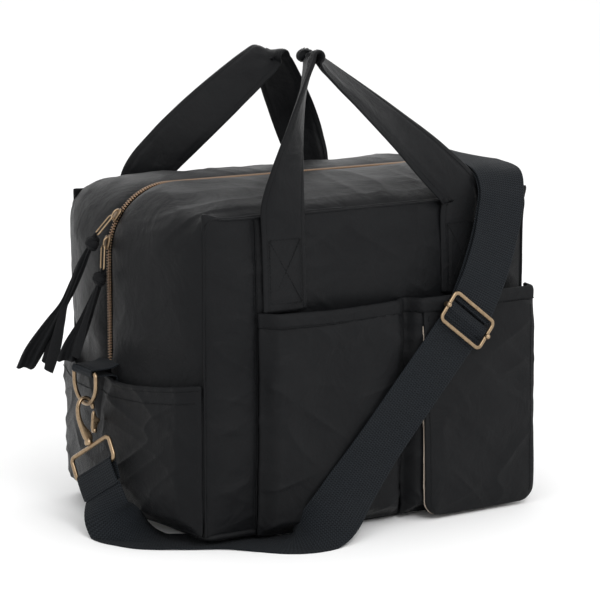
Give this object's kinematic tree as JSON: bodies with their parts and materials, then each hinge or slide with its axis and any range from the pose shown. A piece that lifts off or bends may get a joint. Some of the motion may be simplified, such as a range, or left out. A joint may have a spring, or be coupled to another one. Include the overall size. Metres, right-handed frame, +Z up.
{
  "type": "baby changing bag",
  "caption": "Padded nylon holdall with a long zip, two carrying handles, pockets, a hanging flap and a clip-on webbing strap.",
  "frame": {"origin": "middle of the base's underside", "axes": "+Z up, the front with the flap faces -Y, the long side runs along X and the pictured end is at -X"},
  "size_m": [0.4995, 0.323, 0.4403],
  "materials": {
    "nylon": "near-black padded nylon with a soft sheen",
    "webbing": "ribbed black webbing",
    "lining": "plain beige lining cloth",
    "zip_tape": "woven zip tape",
    "zip_teeth": "antique copper zip teeth",
    "antique_brass": "satin antique brass"
  },
  "bodies": {
    "root": {"base_panel": "nylon", "front_panel": "nylon", "back_panel": "nylon", "gusset_front": "nylon", "gusset_back": "nylon", "end_panel_left": "nylon", "end_panel_right": "nylon", "zip_tape_front": "zip_tape", "zip_tape_back": "zip_tape", "zip_teeth_front": "zip_teeth", "zip_teeth_back": "zip_teeth", "front_pocket": "nylon", "front_pocket_hem": "nylon", "flap_pocket": "nylon", "flap_pocket_hem": "nylon", "side_pocket_left": "nylon", "side_pocket_right": "nylon", "handle_patch_front_left": "nylon", "handle_patch_front_right": "nylon", "handle_patch_back_left": "nylon", "handle_patch_back_right": "nylon", "ring_tab_left": "webbing", "ring_tab_right": "webbing", "strap_run": "webbing", "strap_outer": "webbing", "strap_inner": "webbing"},
    "handle_front": {"handle_front": "nylon"},
    "handle_back": {"handle_back": "nylon"},
    "flap": {"flap": "nylon", "flap_lining": "lining"},
    "buckle": {"buckle_frame": "antique_brass", "buckle_bar": "antique_brass"},
    "slider_upper": {"zip_slider_upper": "antique_brass"},
    "pull_upper": {"zip_pull_upper": "antique_brass", "ribbon_upper": "nylon"},
    "slider_lower": {"zip_slider_lower": "antique_brass"},
    "pull_lower": {"zip_pull_lower": "antique_brass", "ribbon_lower": "nylon"},
    "ring_left": {"ring_left": "antique_brass"},
    "hook_left": {"hook_left_body": "antique_brass"},
    "trigger_left": {"hook_left_trigger": "antique_brass"},
    "loop_left": {"hook_left_loop": "antique_brass", "strap_end_left": "webbing"},
    "ring_right": {"ring_right": "antique_brass"},
    "hook_right": {"hook_right_body": "antique_brass"},
    "trigger_right": {"hook_right_trigger": "antique_brass"},
    "loop_right": {"hook_right_loop": "antique_brass", "strap_end_right": "webbing"}
  },
  "joints": [
    {"name": "handle_front_fold", "type": "hinge", "parent": "root", "child": "handle_front", "pos_m": [0, -0.1295, 0.302], "axis": [-1, 0, 0], "range_deg": [-20, 45]},
    {"name": "handle_back_fold", "type": "hinge", "parent": "root", "child": "handle_back", "pos_m": [0, 0.1295, 0.302], "axis": [-1, 0, 0], "range_deg": [-45, 125]},
    {"name": "flap_lift", "type": "hinge", "parent": "root", "child": "flap", "pos_m": [0.1095, -0.149, 0.1993], "axis": [-1, 0, 0], "range_deg": [0, 30], "deforming": ["strap_run", "strap_outer", "strap_inner"]},
    {"name": "buckle_slide", "type": "slide", "parent": "flap", "child": "buckle", "axis": [0.613, 0, 0.7901], "range_m": [-0.012, 0.012], "deforming": ["strap_run", "strap_outer", "strap_inner"]},
    {"name": "slider_upper_run", "type": "hinge", "parent": "root", "child": "slider_upper", "pos_m": [-0.1435, 0, 0.256], "axis": [0, 1, 0], "range_deg": [0, 56]},
    {"name": "pull_upper_swing", "type": "hinge", "parent": "slider_upper", "child": "pull_upper", "pos_m": [-0.20233, 0, 0.29146], "axis": [0, 1, 0], "range_deg": [-3, 45], "deforming": ["ribbon_upper", "ribbon_lower"]},
    {"name": "slider_lower_run", "type": "slide", "parent": "root", "child": "slider_lower", "axis": [-0.0175, 0, -0.9998], "range_m": [0, 0.06], "deforming": ["ribbon_upper", "ribbon_lower"]},
    {"name": "pull_lower_swing", "type": "hinge", "parent": "slider_lower", "child": "pull_lower", "pos_m": [-0.21167, 0, 0.26447], "axis": [0, 1, 0], "range_deg": [-2, 30], "deforming": ["ribbon_upper", "ribbon_lower"]},
    {"name": "ring_left_swing", "type": "hinge", "parent": "root", "child": "ring_left", "pos_m": [-0.2325, 0, 0.15], "axis": [0, 1, 0], "range_deg": [-1, 18], "deforming": ["strap_run", "strap_outer", "strap_inner"]},
    {"name": "hook_left_swing", "type": "hinge", "parent": "ring_left", "child": "hook_left", "pos_m": [-0.2325, 0, 0.119], "axis": [0, 1, 0], "range_deg": [-1, 12], "deforming": ["strap_run", "strap_outer", "strap_inner"]},
    {"name": "trigger_left_open", "type": "hinge", "parent": "hook_left", "child": "trigger_left", "pos_m": [-0.2267, -0.00547, 0.09327], "axis": [0, -1, 0], "range_deg": [0, 18], "stiffness_Nm_per_rad": 0.02, "springref_deg": -11.46},
    {"name": "loop_left_spin", "type": "hinge", "parent": "hook_left", "child": "loop_left", "pos_m": [-0.2333, -0.00852, 0.0789], "axis": [0, 0.2079, 0.9781], "range_deg": [-25, 8], "deforming": ["strap_run", "strap_outer", "strap_inner"]},
    {"name": "ring_right_swing", "type": "hinge", "parent": "root", "child": "ring_right", "pos_m": [0.2325, 0, 0.15], "axis": [0, 1, 0], "range_deg": [-2, 18], "deforming": ["strap_run", "strap_outer", "strap_inner"]},
    {"name": "hook_right_swing", "type": "hinge", "parent": "ring_right", "child": "hook_right", "pos_m": [0.2325, 0, 0.181], "axis": [0, 1, 0], "range_deg": [-4, 12], "deforming": ["strap_run", "strap_outer", "strap_inner"]},
    {"name": "trigger_right_open", "type": "hinge", "parent": "hook_right", "child": "trigger_right", "pos_m": [0.2267, 0, 0.2073], "axis": [0, -1, 0], "range_deg": [0, 18], "stiffness_Nm_per_rad": 0.02, "springref_deg": -11.46},
    {"name": "loop_right_spin", "type": "hinge", "parent": "hook_right", "child": "loop_right", "pos_m": [0.2333, 0, 0.222], "axis": [0, 0, 1], "range_deg": [-15, 15], "deforming": ["strap_run", "strap_outer", "strap_inner"]}
  ]
}
